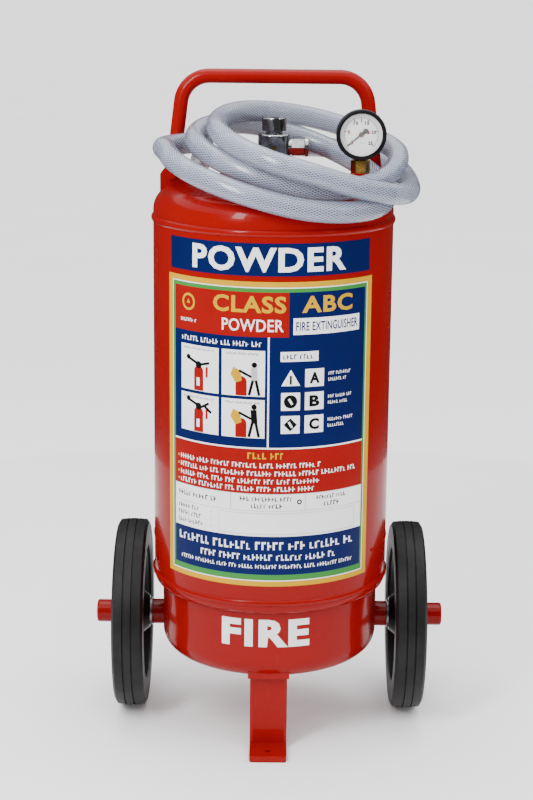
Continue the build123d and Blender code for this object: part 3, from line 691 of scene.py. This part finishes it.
def drawData(art):
    columns = dataPanel["columns"]
    top, line = notesPanel["bottom"], dataPanel["line"]
    art.box(columns[0], top, columns[-1], dataPanel["bottom"], "white", 0.8)
    for left, right in zip(columns, columns[1:]):
        art.outline(left, top, right + line, dataPanel["rowBottom"], line, "grey", 1.6)
    for cell in dataPanel["cells"]:
        art.strokes(*cell)
    art.disc(*dataPanel["mark"], 3.2, "black", 2, 16)
    art.disc(*dataPanel["mark"], 1.4, "white", 3, 12)
    for index, rowTop in enumerate(dataPanel["rows"]):
        art.strokes(20.5, rowTop, 56 + 4 * index, 5.6, "black", 76 + index)
        art.disc(73, rowTop + 3, 0.7, "black", 2, 8)
    art.outline(*dataPanel["box"], line, "grey", 1.6)


def makeMainLabel():
    wide, tall = mainLabel["width"], mainLabel["height"]
    art = Print()
    for ink, insetX, insetY, layer in mainLabel["borders"]:
        art.box(insetX, insetY, wide - insetX, tall - insetY, ink, layer)
    art.box(mainLabel["left"], mainLabel["top"], mainLabel["right"], mainLabel["bottom"], "blue",
            mainLabel["groundLayer"])
    art.lift = mainLabel["lift"]
    drawHeading(art)
    drawMiddle(art)
    drawNotes(art)
    drawData(art)
    for line in footerStrokes:
        art.strokes(*line)
    label = art.wrap("mainLabel", mainLabel["fromDeg"], mainLabel["topZ"], labelR)
    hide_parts("main_label")


makeNameBand()
makeMainLabel()
makeDrumWord()
print("labels printed")

# gauge face, in millimetres and degrees: the scale runs clockwise from its zero
gauge = {
    "x": 105.0, "front": -55.0, "z": 770.0,
    "zero": 222.0, "sweep": 264.0, "ticks": 50, "numbers": 5, "step": 5,
    "tickReach": 21.5, "numberReach": 15.2, "numberHeight": 2.2, "printLayer": 0.08,
    "printGap": 0.05, "capOut": 2.6, "capR": (2.6, 1.9), "capDepth": 0.9, "capRound": 0.2,
}


def scaleAngle(share):
    return gauge["zero"] - gauge["sweep"] * share


def onDial(angle, reach):
    return reach * math.cos(deg(angle)), -reach * math.sin(deg(angle))


def makeGaugeFace():
    art = Print()
    for step in range(gauge["ticks"] + 1):
        angle = scaleAngle(step / gauge["ticks"])
        length, width = (4.4, 1.0) if step % 10 == 0 else (2.2, 0.55)
        x, y = onDial(angle, gauge["tickReach"] - length / 2)
        art.bar(x, y, length, width, angle, "black", 1)
    tall = gauge["numberHeight"]
    for step in range(gauge["numbers"] + 1):
        x, y = onDial(scaleAngle(step / gauge["numbers"]), gauge["numberReach"])
        wide, ink = (1.5, "red") if step < 2 else (2.7, "black")
        art.text(str(step * gauge["step"]), x - wide, y - tall, x + wide, y + tall, ink, 0.055, 1)
    art.bar(0, -17.5, 1.4, 6.0, 0, "green", 1.5)
    art.disc(8.6, -2.2, 1.9, "red", 1.5, 20)
    art.strokes(-6, 9.5, 6, 1.3, "grey", 91, 1)
    for vert in art.bm.verts:
        x, y, layer = vert.co
        front = gauge["front"] - gauge["printGap"] - layer * gauge["printLayer"]
        vert.co = ((gauge["x"] + x) * mm, front * mm, (gauge["z"] + y) * mm)
    art.faceTowards(lambda centre: Vector((0, -1, 0)))
    piece = toObject("gaugeScale", art.bm, inkFinishes)
    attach(piece, mainBody)


def makeNeedleCap():
    centre = Vector((gauge["x"], gauge["front"] - gauge["capOut"], gauge["z"])) * mm
    place = Matrix.Translation(centre) @ Matrix.Rotation(deg(90), 4, "X")
    back, front = gauge["capR"]
    bm = bmesh.new()
    bmesh.ops.create_cone(bm, cap_ends=True, segments=32, radius1=back * mm, radius2=front * mm,
                          depth=gauge["capDepth"] * mm, matrix=place)
    rims = [edge for edge in bm.edges if edge.calc_face_angle(0) > 0.5]
    bmesh.ops.bevel(bm, geom=rims, offset=gauge["capRound"] * mm, segments=2, affect="EDGES", profile=0.5,
                    material=-1)
    piece = toObject("needleCap", bm, [brassFinish])
    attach(piece, "needle")


makeGaugeFace()
makeNeedleCap()
print("gauge face made")

# pale floor and soft studio light; each light has its place, what it aims at, its size and its power
studio = {
    "floorSize": 60.0,
    "skyLow": 0.75, "skyHigh": 2.3,
    "lights": (
        ("keyLeft", (-0.66, -1.02, 1.28), (0, 0, 0.45), (0.24, 0.9), 20),
        ("fillRight", (1.0, -0.8, 1.1), (0, 0, 0.45), (0.2, 0.9), 2.5),
        ("overhead", (0.0, 0.3, 2.6), (0, 0, 0.4), (1.4, 1.4), 26),
    ),
    "screenR": 1.35, "screenHeight": 1.4,
}


def makeFloor():
    bm = bmesh.new()
    bmesh.ops.create_grid(bm, x_segments=1, y_segments=1, size=studio["floorSize"])
    pale = Finish("paleFloor", Roughness=0.6)
    tone = pale.noise(2.0, 3)
    pale.put("Base Color", pale.ramp(tone, (0.3, (0.90, 0.90, 0.91)), (0.7, (0.93, 0.93, 0.94))))
    floor = toObject("floor", bm, [pale.material])


# the sky is brightest overhead, as under a large soft box
def makeSky():
    world = bpy.data.worlds.new("studio")
    world.use_nodes = True
    sky = Graph(world.node_tree)
    where = sky.node("ShaderNodeTexCoord", out="Generated")
    height = sky.node("ShaderNodeSeparateXYZ", None, {0: where}, 2)
    values = {0: height, 1: -0.1, 2: 0.8, 3: studio["skyLow"], 4: studio["skyHigh"]}
    glow = sky.node("ShaderNodeMapRange", None, values)
    background = world.node_tree.nodes["Background"]
    sky.join(background.inputs["Color"], (1, 1, 1))
    sky.join(background.inputs["Strength"], glow)
    bpy.context.scene.world = world


# a dark screen all round, seen only in glossy surfaces, keeps the paint's edges and the chrome deep
def makeScreen():
    bm = bmesh.new()
    height = studio["screenHeight"]
    bmesh.ops.create_cone(bm, segments=48, radius1=studio["screenR"], radius2=studio["screenR"], depth=height,
                          matrix=Matrix.Translation((0, 0, height / 2)))
    cloth = Finish("darkScreen", Roughness=0.9, Specular_IOR_Level=0.0)
    tone = cloth.noise(5.0, 3)
    cloth.put("Base Color", cloth.ramp(tone, (0.3, (0.02, 0.02, 0.02)), (0.7, (0.04, 0.04, 0.04))))
    screen = toObject("darkScreen", bm, [cloth.material])
    screen.visible_camera = False
    screen.visible_diffuse = False
    screen.visible_shadow = False
    screen.visible_transmission = False


def softLight(name, place, aim, size, power):
    lamp = bpy.data.lights.new(name, "AREA")
    lamp.shape = "RECTANGLE"
    lamp.size, lamp.size_y = size
    lamp.energy = power
    holder = addObject(name, lamp)
    holder.visible_camera = False
    holder.location = place
    holder.rotation_euler = (Vector(aim) - Vector(place)).to_track_quat("-Z", "Y").to_euler()


makeFloor()
makeSky()
makeScreen()
for light in studio["lights"]:
    softLight(*light)
print("stage lit")
